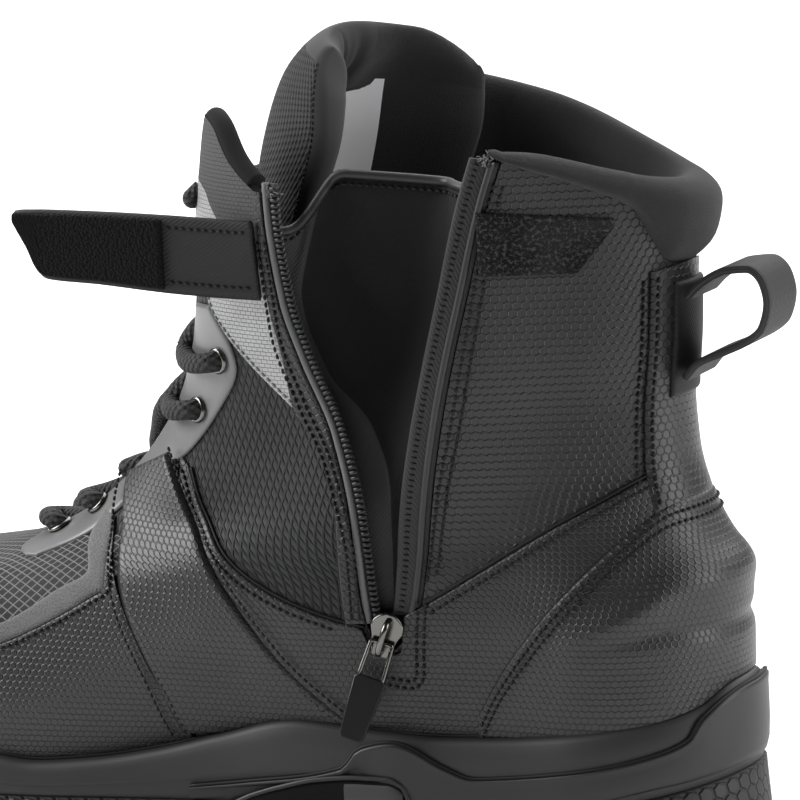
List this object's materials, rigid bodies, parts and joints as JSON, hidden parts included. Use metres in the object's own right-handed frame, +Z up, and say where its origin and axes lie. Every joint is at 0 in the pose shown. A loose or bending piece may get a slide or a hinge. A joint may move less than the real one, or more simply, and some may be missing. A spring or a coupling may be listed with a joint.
{
  "type": "side-zip duty boot",
  "caption": "Ankle-high padded duty boot for the right foot with its side zip open, laced throat, hook strap swung forward, heel pull loop and lugged sole.",
  "frame": {"origin": "on the floor in the middle of the heel tread, 42 mm in front of the back of the sole", "axes": "+X towards the heel, so the toe points to -X; -Y towards the inner (zip) side; +Z up from the floor"},
  "size_m": [0.3209, 0.1141, 0.22],
  "materials": {
    "leather": "embossed",
    "padding": "matte",
    "textile": "matte",
    "plastic": "satin",
    "foam": "satin",
    "rubber": "matte",
    "metal": "dark plated",
    "cord": "matte",
    "label": "matte"
  },
  "bodies": {
    "boot": {"backstay": "leather", "closure_strap": "textile", "collar": "padding", "eyelet_inner_1": "metal", "eyelet_inner_2": "metal", "eyelet_inner_3": "metal", "eyelet_inner_4": "metal", "eyelet_outer_1": "metal", "eyelet_outer_2": "metal", "eyelet_outer_3": "metal", "eyelet_outer_4": "metal", "eyestay_inner": "plastic", "eyestay_outer": "plastic", "heel_counter": "leather", "hook_pile": "textile", "insole": "textile", "lace_bar_1": "cord", "lace_bar_2": "cord", "lace_bar_3": "cord", "lace_bar_4": "cord", "lace_bar_5": "cord", "lace_bar_6": "cord", "lace_bar_7": "cord", "lace_bar_8": "cord", "loop_patch": "textile", "midsole": "foam", "outsole": "rubber", "pull_loop": "textile", "saddle_inner": "leather", "saddle_outer": "leather", "size_label": "label", "sole_clip": "plastic", "strip_padding": "padding", "toe_guard": "leather", "tongue": "padding", "upper": "leather", "zip_gusset": "textile", "zip_slider": "metal", "zip_tape_front": "textile", "zip_tape_rear": "textile"},
    "pull": {"zip_pull": "metal"}
  },
  "joints": [
    {"name": "zip_pull_swing", "type": "hinge", "parent": "boot", "child": "pull", "pos_m": [-0.0489, -0.04339, 0.06004], "axis": [-0.9376, -0.1861, 0.2939], "range_deg": [0, 150]}
  ]
}
